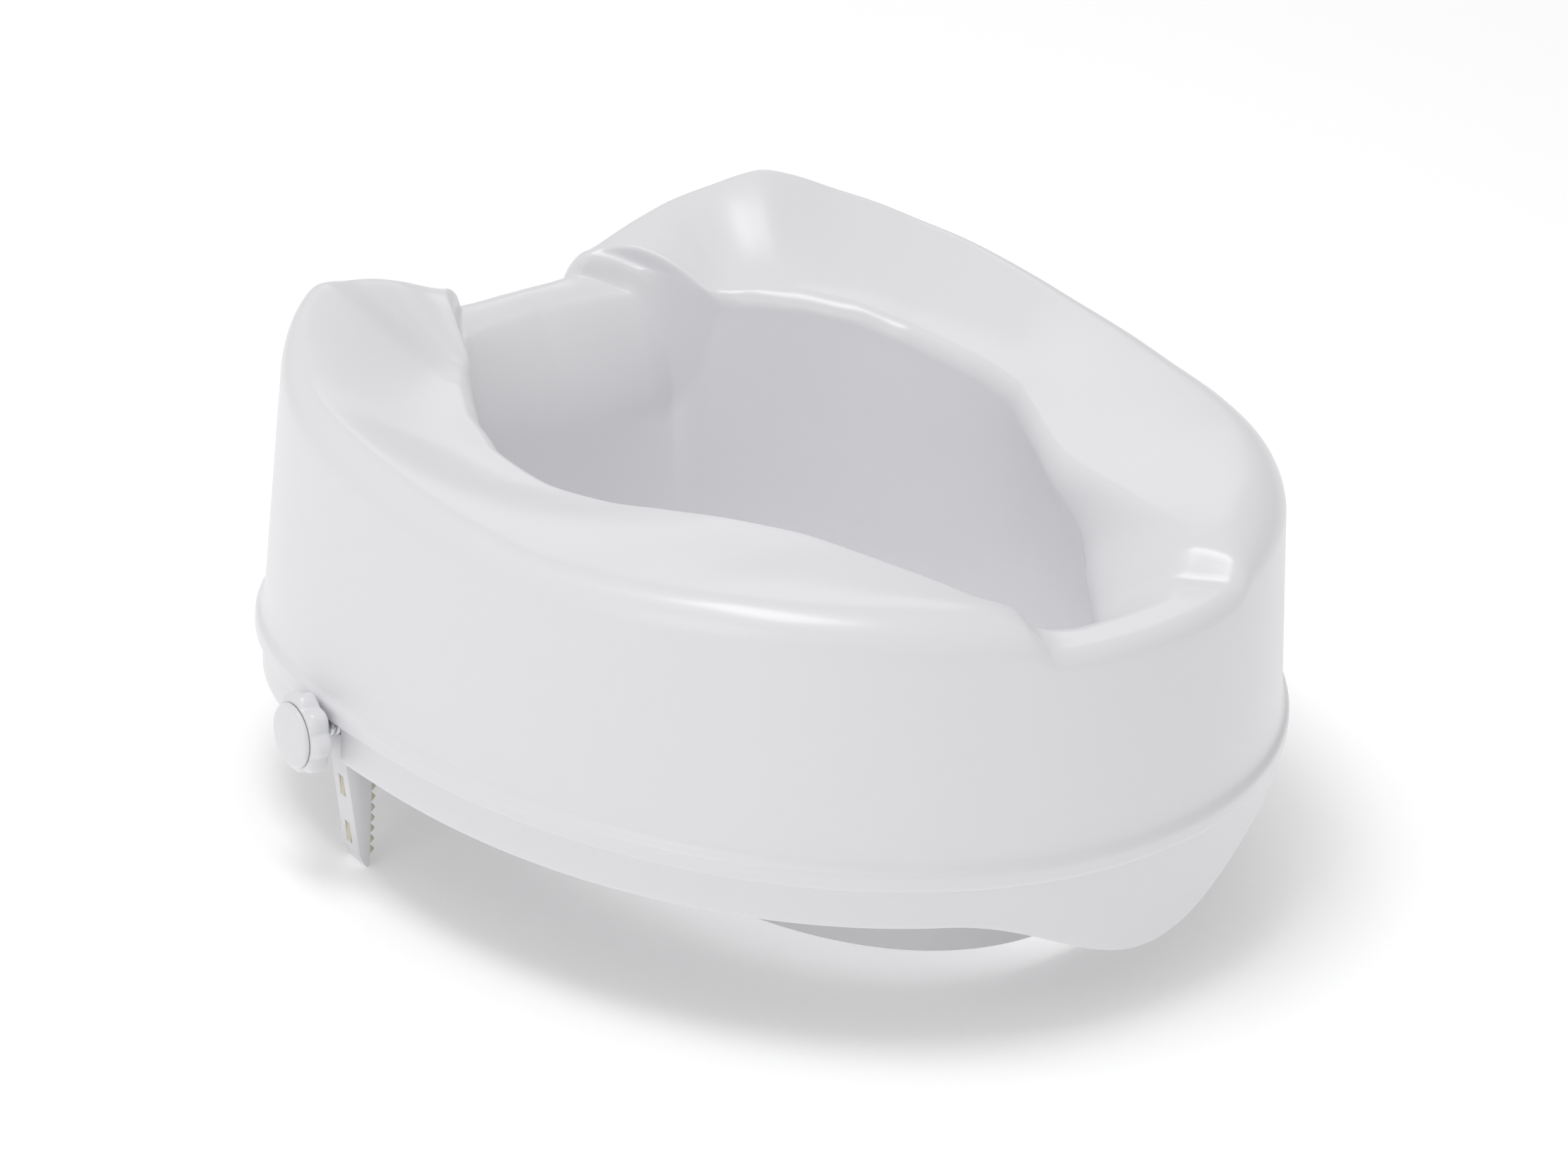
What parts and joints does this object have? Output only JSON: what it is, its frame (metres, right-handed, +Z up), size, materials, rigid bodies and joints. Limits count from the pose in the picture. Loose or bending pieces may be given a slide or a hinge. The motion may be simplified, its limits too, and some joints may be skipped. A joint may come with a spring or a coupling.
{
  "type": "raised toilet seat",
  "caption": "Raised toilet seat: a hollow white moulded shell with front and rear notches and a sleeve into the bowl, held by side knobs that draw padded brackets against it.",
  "frame": {"origin": "under the middle of the seat's outline, at the height of the lowest points of the two clamp brackets", "axes": "+Z up, -Y towards the front of the seat where the skirt has its tongue, +X towards the right-hand clamp"},
  "size_m": [0.385, 0.385, 0.1864],
  "materials": {
    "white_plastic": "gloss",
    "natural_plastic": "matte",
    "cream_rubber": "matte",
    "grey_rubber": "matte",
    "zinc_steel": "satin"
  },
  "bodies": {
    "seat": {"seat_shell": "white_plastic", "rim_buffer_front_left": "grey_rubber", "rim_buffer_front_right": "grey_rubber", "rim_buffer_rear_left": "grey_rubber", "rim_buffer_rear_right": "grey_rubber", "screw_keeper_left": "natural_plastic", "screw_keeper_right": "natural_plastic", "keeper_screw_front_left": "zinc_steel", "keeper_screw_rear_left": "zinc_steel", "keeper_screw_front_right": "zinc_steel", "keeper_screw_rear_right": "zinc_steel"},
    "spindle_left": {"clamp_screw_left": "zinc_steel", "clamp_knob_left": "white_plastic", "knob_cap_left": "white_plastic", "retaining_clip_inner_left": "zinc_steel", "retaining_clip_outer_left": "zinc_steel"},
    "spindle_right": {"clamp_screw_right": "zinc_steel", "clamp_knob_right": "white_plastic", "knob_cap_right": "white_plastic", "retaining_clip_inner_right": "zinc_steel", "retaining_clip_outer_right": "zinc_steel"},
    "bracket_left": {"clamp_bracket_left": "white_plastic", "clamp_pad_left": "cream_rubber", "clamp_nut_left": "zinc_steel"},
    "bracket_right": {"clamp_bracket_right": "white_plastic", "clamp_pad_right": "cream_rubber", "clamp_nut_right": "zinc_steel"}
  },
  "joints": [
    {"name": "knob_turn_left", "type": "hinge", "parent": "seat", "child": "spindle_left", "pos_m": [-0.1802, 0.0635, 0.059], "axis": [0.9903, -0.1392, 0], "range_deg": [0, 2880]},
    {"name": "bracket_travel_left", "type": "slide", "parent": "seat", "child": "bracket_left", "axis": [0.9903, -0.1392, 0], "range_m": [0, 0.02]},
    {"name": "knob_turn_right", "type": "hinge", "parent": "seat", "child": "spindle_right", "pos_m": [0.1802, 0.0635, 0.059], "axis": [-0.9903, -0.1392, 0], "range_deg": [0, 2880]},
    {"name": "bracket_travel_right", "type": "slide", "parent": "seat", "child": "bracket_right", "axis": [-0.9903, -0.1392, 0], "range_m": [0, 0.02]}
  ],
  "couplings": [
    {"joint": "bracket_travel_left", "follows": "knob_turn_left", "m_per_rad": 0.0003978},
    {"joint": "bracket_travel_right", "follows": "knob_turn_right", "m_per_rad": 0.0003978}
  ]
}
